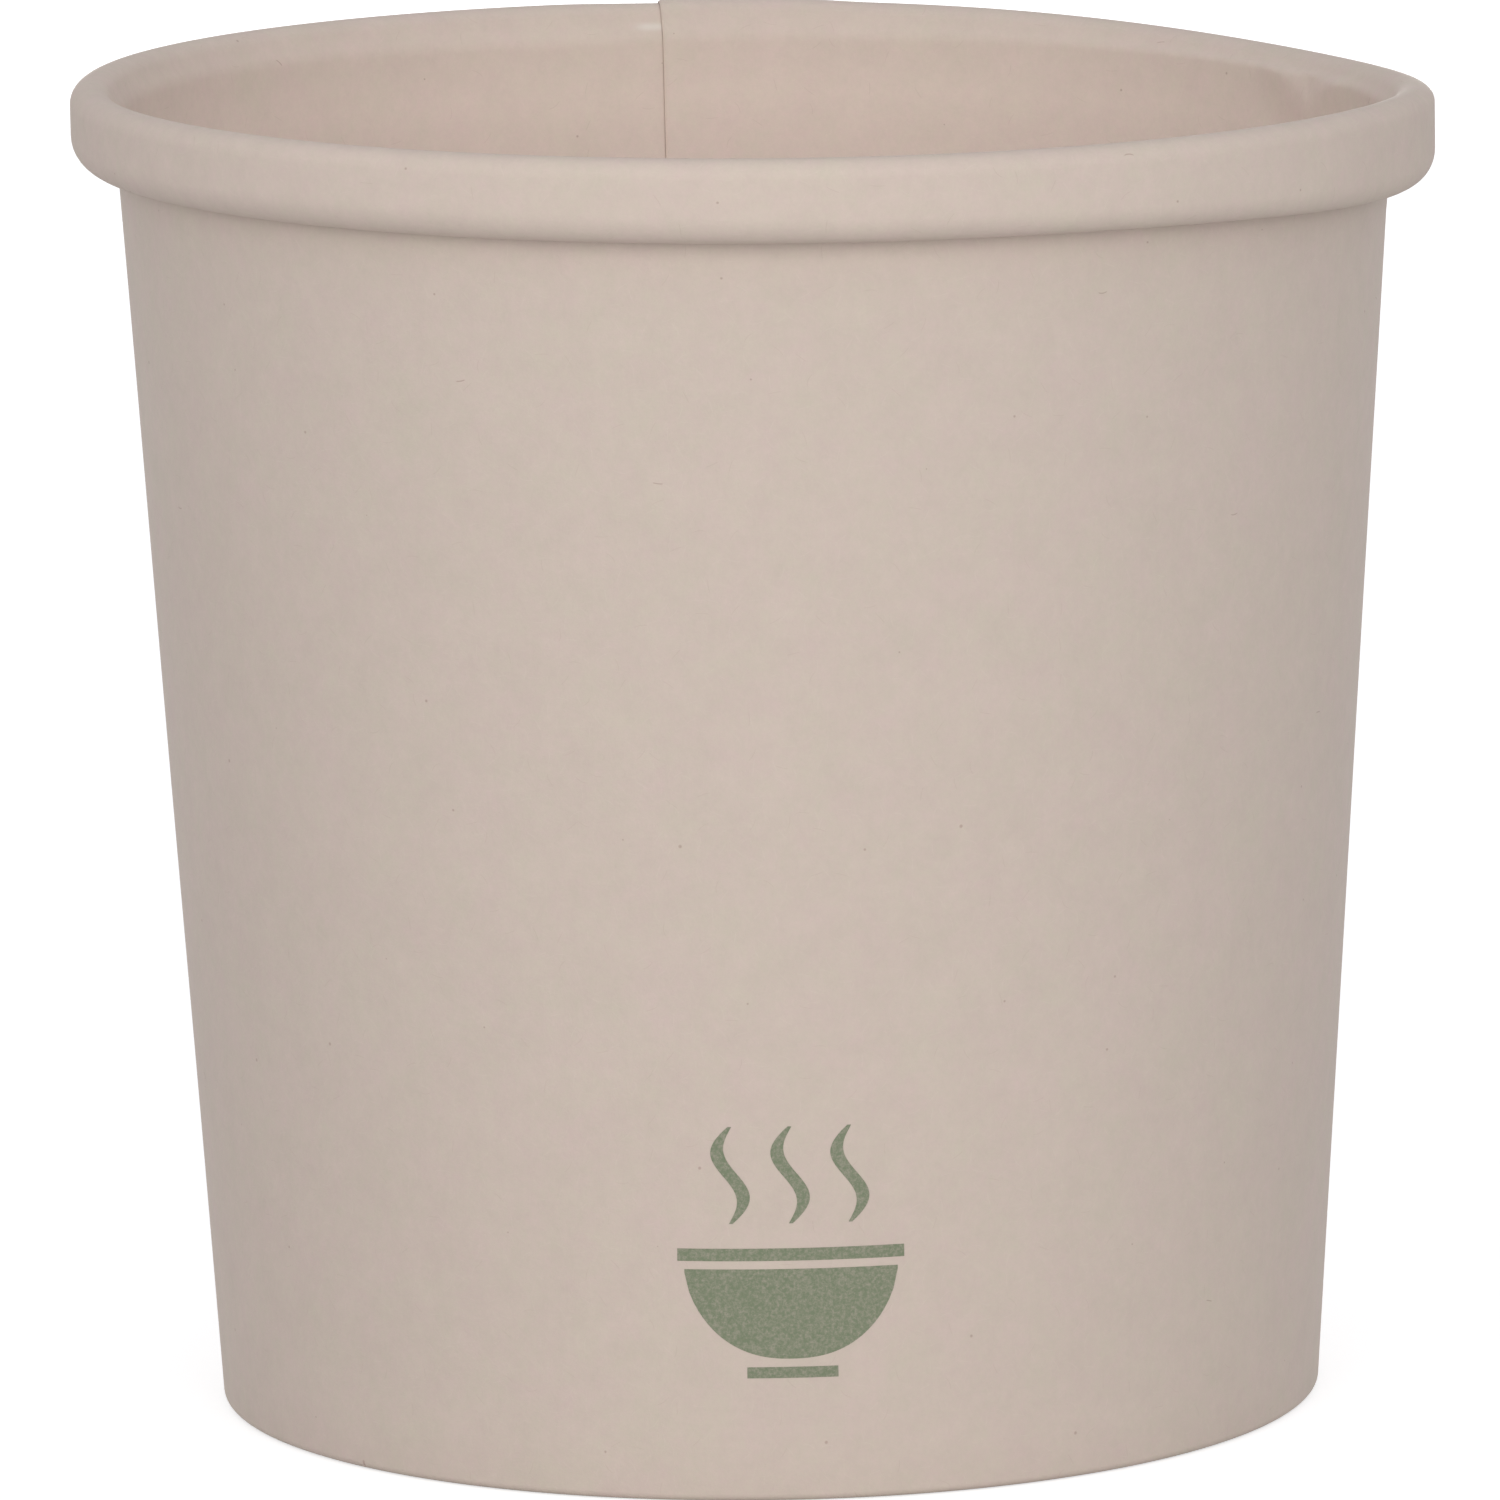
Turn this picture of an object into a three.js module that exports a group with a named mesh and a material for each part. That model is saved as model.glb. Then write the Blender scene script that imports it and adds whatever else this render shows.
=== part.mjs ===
// A paper soup cup of about 475 ml, in millimetres with +Z up.
// The origin is the middle of the circle that the cup stands on, and the side seam is at the back, towards +Y.
// Two blanks of paperboard make the cup, each with a barrier film on the face that meets the soup.
// The side wall is one sheet: lapped at the seam, rolled outwards at the rim and folded inwards at the foot.
// The base is a disc with a skirt, and the folded foot of the wall holds the skirt.

import * as THREE from 'three';

// Outside of the cup
const RIM_DIAMETER = 98;
const CUP_HEIGHT = 96;
const FOOT_DIAMETER = 80;
const RIM_HEIGHT = 5.8;
const RIM_OVERHANG = 3.3;

// Sheets, and the play between two sheets that touch
const WALL_BOARD = 0.45;
const BASE_BOARD = 0.4;
const FILM = 0.05;
const PLAY = 0.02;

// Rolled rim, with radii on its coated outside
const RIM_SHOULDER_RADIUS = 1.5;
const RIM_CURL_RADIUS = 1.15;
const RIM_TUCK = 1.2;

// Folded foot, with the radius on the coated inside of the fold
const FOLD_RADIUS = 0.16;
const HEM_HEIGHT = 6.5;

// Base, measured up from the table
const BASE_RECESS = 7.5;
const BASE_BEND_RADIUS = 0.9;
const SKIRT_EDGE_HEIGHT = 1.4;
const SEAL_EDGE_HEIGHT = 1.6;
const HEM_SEAL_HEIGHT = 6.2;

// Side seam: the direction of its inner raw edge, and spans counted in facets of the round
const FACETS = 72;
const SEAM_DEGREES = 98.5;
const LAP_FACETS = 2;
const RAMP_FACETS = 2;
const EDGE_SLIT_FACETS = 0.06;

// Steps of the round stretches of a section
const FOLD_STEPS = 2;
const SHOULDER_STEPS = 3;
const CURL_STEPS = 5;
const BEND_STEPS = 4;

// Colours of the unbleached board and of the film over it
const BOARD_COLOR = 0xcbbcb0;
const COATED_COLOR = 0xcdbbb0;
const SEAL_COLOR = 0xc4b3a8;

const QUARTER_TURN = Math.PI / 2;
const FACET_ANGLE = (2 * Math.PI) / FACETS;
const SEAM_ANGLE = THREE.MathUtils.degToRad(SEAM_DEGREES);

// The wall leans outwards by this angle from the foot to the crease under the rim
const creaseHeight = CUP_HEIGHT - RIM_HEIGHT;
const creaseRadius = RIM_DIAMETER / 2 - RIM_OVERHANG;
const lean = Math.atan((creaseRadius - FOOT_DIAMETER / 2) / creaseHeight);
const upTheWall = QUARTER_TURN - lean;
const downTheWall = upTheWall - Math.PI;

// How far a film stands off its board, and how far the outer lap stands off the inner one
const filmStand = PLAY + FILM;
const lapStand = WALL_BOARD + FILM + 2 * PLAY;

// The skirt and its two seals fill the pocket between the wall and the hem
const seamFilm = 2 * FILM + PLAY;
const skirtOffset = seamFilm + 2 * PLAY;
const pocketWidth = skirtOffset + BASE_BOARD + FILM + 2 * PLAY;

// Radius of a line that runs up the cup, set in from the wall's coated face
function leaningRadius(height, inset) {
  const coatedFoot = FOOT_DIAMETER / 2 - WALL_BOARD / Math.cos(lean);
  return coatedFoot - inset / Math.cos(lean) + height * Math.tan(lean);
}

// Draws a section in radius and height along a sheet's coated face.
// The board lies to the right of the pen, and each point keeps the direction into it.
class SectionPen {
  constructor(radius, height, heading) {
    this.radius = radius;
    this.height = height;
    this.heading = heading;
    this.points = [];
    this.mark();
  }

  mark() {
    this.points.push({
      radius: this.radius,
      height: this.height,
      intoRadius: Math.sin(this.heading),
      intoHeight: -Math.cos(this.heading),
    });
  }

  line(length) {
    this.radius += length * Math.cos(this.heading);
    this.height += length * Math.sin(this.heading);
    this.mark();
    return this;
  }

  lineToHeight(height) {
    return this.line((height - this.height) / Math.sin(this.heading));
  }

  lineToRadius(radius) {
    return this.line((radius - this.radius) / Math.cos(this.heading));
  }

  // A positive turn bends to the left, away from the board
  arc(bend, turn, steps) {
    const side = Math.sign(turn);
    const centreRadius = this.radius - side * bend * Math.sin(this.heading);
    const centreHeight = this.height + side * bend * Math.cos(this.heading);
    for (let step = 0; step < steps; step += 1) {
      this.heading += turn / steps;
      this.radius = centreRadius + side * bend * Math.sin(this.heading);
      this.height = centreHeight - side * bend * Math.cos(this.heading);
      this.mark();
    }
    return this;
  }
}

// Wall up to the rim, over its shoulder, down its outside and round the curl to the tucked-in raw edge
function drawRim(pen) {
  const coatedTop = CUP_HEIGHT - filmStand;
  const coatedSide = RIM_DIAMETER / 2 - filmStand;
  const coatedBottom = creaseHeight + filmStand;
  pen.lineToHeight(coatedTop - RIM_SHOULDER_RADIUS * (1 - Math.sin(lean)));
  pen.arc(RIM_SHOULDER_RADIUS, -upTheWall, SHOULDER_STEPS);
  pen.lineToRadius(coatedSide - RIM_SHOULDER_RADIUS);
  pen.arc(RIM_SHOULDER_RADIUS, -QUARTER_TURN, SHOULDER_STEPS);
  pen.lineToHeight(coatedBottom + RIM_CURL_RADIUS);
  pen.arc(RIM_CURL_RADIUS, -2 * QUARTER_TURN, CURL_STEPS);
  return pen.line(RIM_TUCK);
}

// The whole wall blank, from the hem's raw edge to the rim's, with its fold lifted by the given amount
function wallSection(lift) {
  const foldFloor = WALL_BOARD + lift;
  const wallStart = foldFloor + FOLD_RADIUS * (1 - Math.sin(lean));
  const foldOutside = leaningRadius(wallStart, 0) - FOLD_RADIUS * Math.cos(lean);
  const pen = new SectionPen(leaningRadius(HEM_HEIGHT, pocketWidth), HEM_HEIGHT, downTheWall);
  pen.lineToHeight(foldFloor + FOLD_RADIUS * (1 + Math.sin(lean)));
  pen.arc(FOLD_RADIUS, -downTheWall, FOLD_STEPS);
  pen.lineToRadius(foldOutside);
  pen.arc(FOLD_RADIUS, upTheWall, FOLD_STEPS);
  return drawRim(pen).points;
}

// Height where the base's bend ends and its skirt begins
const baseTop = BASE_RECESS + BASE_BOARD;
const skirtTop = baseTop - BASE_BEND_RADIUS * (1 + Math.sin(lean));

function filmSection() {
  const pen = new SectionPen(leaningRadius(skirtTop + PLAY, 0), skirtTop + PLAY, upTheWall);
  return drawRim(pen).points;
}

function drawBasePanel() {
  const bendStart = leaningRadius(skirtTop, skirtOffset) - BASE_BEND_RADIUS * Math.cos(lean);
  const pen = new SectionPen(0, baseTop, 0);
  pen.lineToRadius(bendStart);
  return pen.arc(BASE_BEND_RADIUS, downTheWall, BEND_STEPS);
}

function seamSection() {
  const pen = new SectionPen(leaningRadius(SEAL_EDGE_HEIGHT, 0), SEAL_EDGE_HEIGHT, upTheWall);
  return pen.lineToHeight(skirtTop - PLAY).points;
}

function hemSection() {
  const pen = new SectionPen(leaningRadius(HEM_SEAL_HEIGHT, pocketWidth), HEM_SEAL_HEIGHT, downTheWall);
  return pen.lineToHeight(SEAL_EDGE_HEIGHT).points;
}

// The closed outline of a sheet between two depths under its coated face
function sheetOutline(section, near, far) {
  const atDepth = (depth) => (point) =>
    new THREE.Vector2(point.radius + depth * point.intoRadius, point.height + depth * point.intoHeight);
  return [...section.map(atDepth(near)), ...section.map(atDepth(far)).reverse()];
}

// Both end faces and the long faces of a sheet that runs round the cup, facet by facet from the seam
function sweptSheet(turns, outlineAt) {
  const outlines = turns.map(outlineAt);
  const size = outlines[0].length;
  const positions = [];
  const faces = [];
  outlines.forEach((outline, column) => {
    const angle = SEAM_ANGLE - turns[column] * FACET_ANGLE;
    outline.forEach((point) => {
      positions.push(point.x * Math.cos(angle), point.x * Math.sin(angle), point.y);
    });
  });
  for (let column = 0; column + 1 < turns.length; column += 1) {
    for (let corner = 0; corner < size; corner += 1) {
      const here = column * size + corner;
      const next = column * size + ((corner + 1) % size);
      faces.push(next, here, here + size);
      faces.push(next, here + size, next + size);
    }
  }
  const lastColumn = (turns.length - 1) * size;
  for (let near = 0; near + 1 < size / 2; near += 1) {
    const far = size - 1 - near;
    faces.push(near, near + 1, far - 1);
    faces.push(near, far - 1, far);
    faces.push(lastColumn + near, lastColumn + far - 1, lastColumn + near + 1);
    faces.push(lastColumn + near, lastColumn + far, lastColumn + far - 1);
  }
  const geometry = new THREE.BufferGeometry();
  geometry.setAttribute('position', new THREE.Float32BufferAttribute(positions, 3));
  geometry.setIndex(faces);
  geometry.computeVertexNormals();
  return geometry;
}

// A round sheet turned about the cup's axis, with its facets in line with the wall's
function turnedSheet(outline) {
  const geometry = new THREE.LatheGeometry(outline.reverse(), FACETS, SEAM_ANGLE + QUARTER_TURN);
  return geometry.rotateX(QUARTER_TURN);
}

// How far the sheet has climbed on to the inner lap, after this many facets from the inner raw edge
function lapRise(turn) {
  return lapStand * THREE.MathUtils.clamp((turn - FACETS + RAMP_FACETS) / RAMP_FACETS, 0, 1);
}

// The doubled foot of the lap stands on the table, so the fold is lifted there and eased down on both sides
function foldLift(turn) {
  const leaving = THREE.MathUtils.clamp((LAP_FACETS + RAMP_FACETS - turn) / RAMP_FACETS, 0, 1);
  return Math.max(lapStand * leaving, lapRise(turn));
}

function facetTurns(first, last) {
  return Array.from({ length: last - first + 1 }, (_, step) => first + step);
}

const blankTurns = facetTurns(0, FACETS + LAP_FACETS);
const lapTurns = facetTurns(FACETS, FACETS + LAP_FACETS);

// Films and seals that go once round stop short of the inner lap's raw edge
const onceRoundTurns = [...facetTurns(0, FACETS - 1), FACETS - EDGE_SLIT_FACETS];

function makeSideWall() {
  return sweptSheet(blankTurns, (turn) =>
    sheetOutline(wallSection(foldLift(turn)), lapRise(turn), lapRise(turn) + WALL_BOARD),
  );
}

function makeWallFilm() {
  const section = filmSection();
  return sweptSheet(onceRoundTurns, (turn) =>
    sheetOutline(section, lapRise(turn) - filmStand, lapRise(turn) - PLAY),
  );
}

function makeSideSeamSeal() {
  return sweptSheet(lapTurns, (turn) =>
    sheetOutline(wallSection(foldLift(turn)), lapRise(turn) - filmStand, lapRise(turn) - PLAY),
  );
}

function makeBase() {
  const section = drawBasePanel().lineToHeight(SKIRT_EDGE_HEIGHT).points;
  return turnedSheet(sheetOutline(section, 0, BASE_BOARD));
}

function makeBaseFilm() {
  return turnedSheet(sheetOutline(drawBasePanel().points, -filmStand, -PLAY));
}

function makeBaseSeamSeal() {
  const section = seamSection();
  return sweptSheet(onceRoundTurns, (turn) =>
    sheetOutline(section, -PLAY - seamFilm, lapRise(turn) - PLAY),
  );
}

function makeHemSeal() {
  const section = hemSection();
  return sweptSheet(onceRoundTurns, (turn) =>
    sheetOutline(section, -filmStand, lapRise(turn) - PLAY),
  );
}

const boardMaterial = new THREE.MeshStandardMaterial({ color: BOARD_COLOR, roughness: 0.9, metalness: 0 });
const coatedMaterial = new THREE.MeshStandardMaterial({ color: COATED_COLOR, roughness: 0.5, metalness: 0 });
const sealMaterial = new THREE.MeshStandardMaterial({ color: SEAL_COLOR, roughness: 0.6, metalness: 0 });

const cup = new THREE.Group();

function addPiece(name, geometry, material) {
  const piece = new THREE.Mesh(geometry, material);
  piece.name = name;
  cup.add(piece);
}

addPiece('side_wall', makeSideWall(), boardMaterial);
addPiece('base', makeBase(), boardMaterial);
addPiece('wall_film', makeWallFilm(), coatedMaterial);
addPiece('base_film', makeBaseFilm(), coatedMaterial);
addPiece('side_seam_seal', makeSideSeamSeal(), sealMaterial);
addPiece('base_seam_seal', makeBaseSeamSeal(), sealMaterial);
addPiece('hem_seal', makeHemSeal(), sealMaterial);

export default cup;
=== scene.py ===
"""Looks of a paper soup cup: board with one film-coated face, rolled, lapped, folded and sealed."""

import math

import bpy
import numpy as np
from mathutils import Matrix, Vector


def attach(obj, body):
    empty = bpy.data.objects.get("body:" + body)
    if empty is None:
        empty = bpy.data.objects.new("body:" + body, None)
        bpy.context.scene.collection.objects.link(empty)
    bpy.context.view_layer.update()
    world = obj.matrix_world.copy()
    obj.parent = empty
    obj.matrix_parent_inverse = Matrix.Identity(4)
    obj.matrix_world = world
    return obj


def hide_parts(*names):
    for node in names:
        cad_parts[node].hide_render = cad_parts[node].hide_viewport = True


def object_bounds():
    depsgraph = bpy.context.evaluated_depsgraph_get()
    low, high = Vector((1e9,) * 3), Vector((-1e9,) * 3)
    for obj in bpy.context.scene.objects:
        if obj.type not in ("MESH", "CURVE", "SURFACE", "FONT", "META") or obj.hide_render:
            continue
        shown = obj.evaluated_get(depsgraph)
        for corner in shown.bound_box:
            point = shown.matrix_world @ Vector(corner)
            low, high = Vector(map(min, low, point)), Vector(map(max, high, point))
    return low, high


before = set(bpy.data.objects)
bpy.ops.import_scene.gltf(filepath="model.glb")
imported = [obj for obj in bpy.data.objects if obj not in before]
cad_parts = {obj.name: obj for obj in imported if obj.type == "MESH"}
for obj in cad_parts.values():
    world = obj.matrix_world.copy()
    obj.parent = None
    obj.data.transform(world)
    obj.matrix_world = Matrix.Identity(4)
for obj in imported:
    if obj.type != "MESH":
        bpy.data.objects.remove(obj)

cad_low, cad_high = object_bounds()

# Shapes are worked out in millimetres, and Blender's unit is the metre
MM = 0.001

# Outside of the cup, the first two from the frame
RIM_RADIUS = cad_high.x / MM
CUP_HEIGHT = cad_high.z / MM
FOOT_RADIUS = 39.9
RIM_HEIGHT = 5.95
RIM_OVERHANG = 3.3

# Sheets, and the play between two sheets that touch
WALL_BOARD = 0.45
BASE_BOARD = 0.4
FILM = 0.05
PLAY = 0.02

# Rolled rim: the wall flares to a lip, then come the shoulder and the roll, which is rounder on the left
LIP_DROP = 2.65
LIP_FLARE = math.radians(23)
LIP_BEND_RADIUS = 2.6
LIP_TOP_RADIUS = 1.5
RIM_SHOULDER_RADIUS = 1.3
RIM_ROLL_RADIUS = 1.95
RIM_ROLL_CHANGE = 0.6

# The flare starts lower at the back
LIP_SAG = 0.5
LIP_SAG_ANGLE = math.radians(100)
LIP_SAG_WIDTH = math.radians(28)

# The end of the roll is tucked up close to the wall, and opens where the doubled lap needs room
RIM_CURL_RADIUS = 0.55
RIM_CURL_RADIUS_AT_LAP = 1.1
RIM_TUCK = 1.2
TUCK_GAP = 0.3

# Folded foot, base and seals
FOLD_RADIUS = 0.16
HEM_HEIGHT = 6.5
BASE_RECESS = 7.5
BASE_BEND_RADIUS = 0.9
SKIRT_EDGE_HEIGHT = 1.4
SEAL_EDGE_HEIGHT = 1.6
HEM_SEAL_HEIGHT = 6.2

# Marks of the wheel that pressed the hem on to the skirt: they fade in and out, and stay off the fold
HEM_MARKS = 90
HEM_MARK_DEPTH = 0.05
HEM_MARK_FADE = 1.0
HEM_MARK_CLEARANCE = 0.8

# Pleats that a flat disc takes when its edge is turned down, uneven round the base, and its low crown
PLEATS = 90
PLEAT_SIZE = 0.05
PLEAT_REACH = 3.0
PLEAT_CHANGE = 0.4
PLEAT_BEATS = (7, 11)
PLEAT_BEAT_SHIFT = 1.3
PANEL_CROWN = 0.35

# Side seam: direction of the inner raw edge, width of the lap, and the stretch that climbs on to it
SEAM_ANGLE = math.radians(98.3)
LAP_ANGLE = math.radians(10)
RAMP_ANGLE = math.radians(10)
EDGE_SLIT_ANGLE = math.radians(0.015)

# Sealing presses the inner lap by this share of its thickness, and the doubled rim stands this much higher
LAP_PRESS = 0.5
RIM_LAP_LIFT = 0.2

# Cut edges are pressed thinner by this much, over this stretch
EDGE_PRESS = 0.18
EDGE_PRESS_ANGLE = math.radians(0.4)

# Fineness of the meshes: columns round the cup, over the fold under the lip and, as shares of its stretch,
# over a pressed edge, then the steps along the sections
COLUMNS = 360
BUCKLE_COLUMNS = 64
PRESSED_COLUMNS = np.array([0.0, 0.3, 0.65])
WALL_STEPS = 32
UNDER_RIM_STEPS = 20
LIP_STEPS = 6
RIM_SIDE_STEPS = 4
TUCK_STEPS = 2
HEM_STEPS = 8
FOLD_STEPS = 6
PANEL_STEPS = 8
SKIRT_STEPS = 6
SEAL_STEPS = 3
ARC_STEPS = 10

# The finer steps start this far under the rim's crease
UNDER_RIM_REACH = 1.0

FULL_TURN = 2 * math.pi
QUARTER_TURN = math.pi / 2
FRONT_ANGLE = -QUARTER_TURN

crease_height = CUP_HEIGHT - RIM_HEIGHT
crease_radius = RIM_RADIUS - RIM_OVERHANG
under_rim_height = crease_height - UNDER_RIM_REACH
lean = math.atan((crease_radius - FOOT_RADIUS) / crease_height)
up_the_wall = QUARTER_TURN - lean
down_the_wall = up_the_wall - math.pi
film_stand = PLAY + FILM
lap_stand = WALL_BOARD * (1 - LAP_PRESS) + FILM + 2 * PLAY
seam_film = 2 * FILM + PLAY
skirt_offset = seam_film + 2 * PLAY
pocket_width = skirt_offset + BASE_BOARD + FILM + 2 * PLAY
base_top = BASE_RECESS + BASE_BOARD
skirt_top = base_top - BASE_BEND_RADIUS * (1 + math.sin(lean))


def leaning_radius(height, inset):
    """Radius of a line that runs up the cup, set in from the wall's coated face."""
    coated_foot = FOOT_RADIUS - WALL_BOARD / math.cos(lean)
    return coated_foot - inset / math.cos(lean) + height * math.tan(lean)


def smooth_step(value):
    """0 up to 0, 1 from 1 on, and a smooth curve between."""
    value = np.clip(value, 0.0, 1.0)
    return value * value * (3 - 2 * value)


def bump(distance, width):
    """A rounded bump that is 1 at distance 0 and fades over about twice the width."""
    return np.exp(-((distance / width) ** 2))


def angle_between(angle, middle):
    """The short way round from middle to angle."""
    return (angle - middle + math.pi) % FULL_TURN - math.pi


def in_space(radius, angle, height):
    """Points from their radius, angle and height."""
    return np.stack([radius * np.cos(angle), radius * np.sin(angle), height], -1)


# Small departures from a true cone

# The rim is a little lower on the right, where its roll hangs, and was pressed down at the back right
RIM_TILT = 0.4
RIM_DIP = 1.4
RIM_DIP_ANGLE = math.radians(27)
RIM_DIP_WIDTH = math.radians(36)
RIM_DIP_START = 92.5
RIM_DROOP = 1.3
RIM_DROOP_ANGLE = math.radians(-14)
RIM_DROOP_WIDTH = math.radians(30)
RIM_DROOP_REACH = 4.0

# The V-shaped fold that the press left in the wall under the lip: its tip, the climb of its two arms, and
# its gentle lower and steeper upper side
BUCKLE_DEPTH = 0.26
BUCKLE_ANGLE = math.radians(25.4)
BUCKLE_TIP = 91.3
BUCKLE_CLIMB = 0.42
BUCKLE_ARM = 4.0
BUCKLE_ARM_END = 4.0
BUCKLE_RISE = 3.8
BUCKLE_FALL = 2.1
BUCKLE_CLEARANCE = 1.5

# Out of round at the rim, and slow waves in the board, as (size, waves round the cup, twist per mm), which
# grow from the foot to their full height
OVAL = 0.12
OVAL_ANGLE = math.radians(35)
BOARD_WAVES = ((0.05, 3, 0.035), (0.035, 5, -0.05), (0.02, 9, 0.09))
FULL_WAVE_HEIGHT = CUP_HEIGHT / 3


def buckle(radius, angle, height):
    """How far the fold under the lip pushes the wall inwards; the roll outside it stays as it is."""
    along = np.abs(angle_between(angle, BUCKLE_ANGLE)) * crease_radius
    above_fold = height - BUCKLE_TIP - BUCKLE_CLIMB * along
    profile = smooth_step(above_fold / BUCKLE_RISE + 1) * (1 - smooth_step(above_fold / BUCKLE_FALL))
    outside = FOOT_RADIUS + height * math.tan(lean)
    in_wall = 1 - smooth_step((radius - outside) / BUCKLE_CLEARANCE)
    in_arms = 1 - smooth_step((along - BUCKLE_ARM) / BUCKLE_ARM_END)
    return BUCKLE_DEPTH * profile * in_arms * in_wall


def settle(radius, angle, height):
    """Moves points of the true cup to where the used board has settled."""
    up = np.clip(height / CUP_HEIGHT, 0.0, 1.0)
    out = OVAL * np.cos(2 * (angle - OVAL_ANGLE)) * up**2
    for size, waves, twist in BOARD_WAVES:
        out = out + size * np.sin(waves * angle + twist * height) * smooth_step(height / FULL_WAVE_HEIGHT)
    out = out - buckle(radius, angle, height)
    top_part = smooth_step((height - RIM_DIP_START) / (CUP_HEIGHT - RIM_DIP_START))
    dip = RIM_DIP * bump(angle_between(angle, RIM_DIP_ANGLE), RIM_DIP_WIDTH) * top_part
    rim_part = smooth_step((height - under_rim_height) / RIM_HEIGHT)
    roll_part = smooth_step((height - crease_height) / RIM_DROOP_REACH + 1) * (1 - rim_part)
    droop = RIM_DROOP * bump(angle_between(angle, RIM_DROOP_ANGLE), RIM_DROOP_WIDTH) * roll_part
    tilt = RIM_TILT * np.cos(angle) * up
    return radius + out, angle, height - dip - droop - tilt


def settle_base(radius, angle, height):
    """Moves points of the flat base to where its crown and pleats put them."""
    edge = leaning_radius(skirt_top, skirt_offset)
    first_beat, second_beat = PLEAT_BEATS
    beat = np.sin(first_beat * angle + PLEAT_BEAT_SHIFT) * np.sin(second_beat * angle)
    at_bend = smooth_step((radius - edge + PLEAT_REACH) / PLEAT_REACH)
    at_bend = at_bend * smooth_step((height - skirt_top) / BASE_BEND_RADIUS)
    pleat = PLEAT_SIZE * (1 - PLEAT_CHANGE + PLEAT_CHANGE * beat) * np.cos(PLEATS * angle) * at_bend
    crown = PANEL_CROWN * np.clip(1 - (radius / edge) ** 2, 0, 1)
    return radius, angle, height + crown + pleat


# Sections of the sheets


class SectionPen:
    """Draws a section in radius and height along a sheet's coated face, with the board to its right."""

    def __init__(self, radius, height, heading):
        self.radius = radius
        self.height = height
        self.heading = heading
        self.drawn = 0.0
        self.points = []
        self.mark()

    def mark(self):
        """Keeps this place, the way into the board and the length drawn so far."""
        into = (math.sin(self.heading), -math.cos(self.heading))
        self.points.append((self.radius, self.height, *into, self.drawn))

    def line(self, length, steps=1):
        for _ in range(steps):
            self.radius += length / steps * math.cos(self.heading)
            self.height += length / steps * math.sin(self.heading)
            self.drawn += length / steps
            self.mark()
        return self

    def line_to_height(self, height, steps=1):
        return self.line((height - self.height) / math.sin(self.heading), steps)

    def line_to_radius(self, radius, steps=1):
        return self.line((radius - self.radius) / math.cos(self.heading), steps)

    def arc(self, bend, turn, steps=ARC_STEPS):
        """A positive turn bends to the left, away from the board."""
        side = math.copysign(1, turn)
        centre_radius = self.radius - side * bend * math.sin(self.heading)
        centre_height = self.height + side * bend * math.cos(self.heading)
        for _ in range(steps):
            self.heading += turn / steps
            self.radius = centre_radius + side * bend * math.sin(self.heading)
            self.height = centre_height - side * bend * math.cos(self.heading)
            self.drawn += bend * abs(turn) / steps
            self.mark()
        return self

    def section(self):
        return np.array(self.points)


def at_depth(section, depth):
    """Radius and height of a section's points, moved so far into the board."""
    radius, height, into_radius, into_height, _ = section.T
    return radius + depth * into_radius, height + depth * into_height


def drawn_length(section):
    """Length along the section to each of its points."""
    return section[:, -1]


def lap_rise(turn):
    """How far the sheet has climbed on to the inner lap, at this turn from the inner raw edge."""
    return lap_stand * smooth_step((turn - FULL_TURN + RAMP_ANGLE) / RAMP_ANGLE)


def inner_lap(turn):
    """1 in the inner lap, fading to 0 over the stretch next to it."""
    return smooth_step((LAP_ANGLE + RAMP_ANGLE - turn) / RAMP_ANGLE)


def fold_lift(turn):
    """The doubled foot of the lap stands on the table, so the fold is lifted there."""
    return max(lap_stand * inner_lap(turn), lap_rise(turn))


def lip_drop(turn):
    """How far under the top the wall starts to flare."""
    return LIP_DROP + LIP_SAG * bump(angle_between(SEAM_ANGLE - turn, LIP_SAG_ANGLE), LIP_SAG_WIDTH)


def draw_rim(pen, turn):
    """Wall up to the rim, over its shoulder, down its outside and round the curl to the raw edge."""
    at_lap = fold_lift(turn) / lap_stand
    curl = RIM_CURL_RADIUS + (RIM_CURL_RADIUS_AT_LAP - RIM_CURL_RADIUS) * at_lap
    coated_top = CUP_HEIGHT - film_stand + RIM_LAP_LIFT * at_lap
    coated_side = RIM_RADIUS - film_stand
    coated_bottom = crease_height + film_stand
    coated_tuck = crease_radius + TUCK_GAP + film_stand + lap_stand * at_lap
    lip_end = coated_top - LIP_TOP_RADIUS * (1 - math.cos(up_the_wall - LIP_FLARE))
    roll = RIM_ROLL_RADIUS - RIM_ROLL_CHANGE * math.cos(SEAM_ANGLE - turn)
    roll = min(roll, coated_side - coated_tuck - curl - PLAY)
    pen.line_to_height(under_rim_height, WALL_STEPS)
    pen.line_to_height(coated_top - lip_drop(turn), UNDER_RIM_STEPS)
    pen.arc(LIP_BEND_RADIUS, -LIP_FLARE, LIP_STEPS)
    pen.line_to_height(lip_end, LIP_STEPS)
    pen.arc(LIP_TOP_RADIUS, LIP_FLARE - up_the_wall)
    pen.line_to_radius(coated_side - RIM_SHOULDER_RADIUS)
    pen.arc(RIM_SHOULDER_RADIUS, -QUARTER_TURN)
    pen.line_to_height(coated_bottom + roll, RIM_SIDE_STEPS)
    pen.arc(roll, -QUARTER_TURN)
    pen.line_to_radius(coated_tuck + curl)
    pen.arc(curl, -QUARTER_TURN)
    return pen.line(RIM_TUCK, TUCK_STEPS).section()


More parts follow.
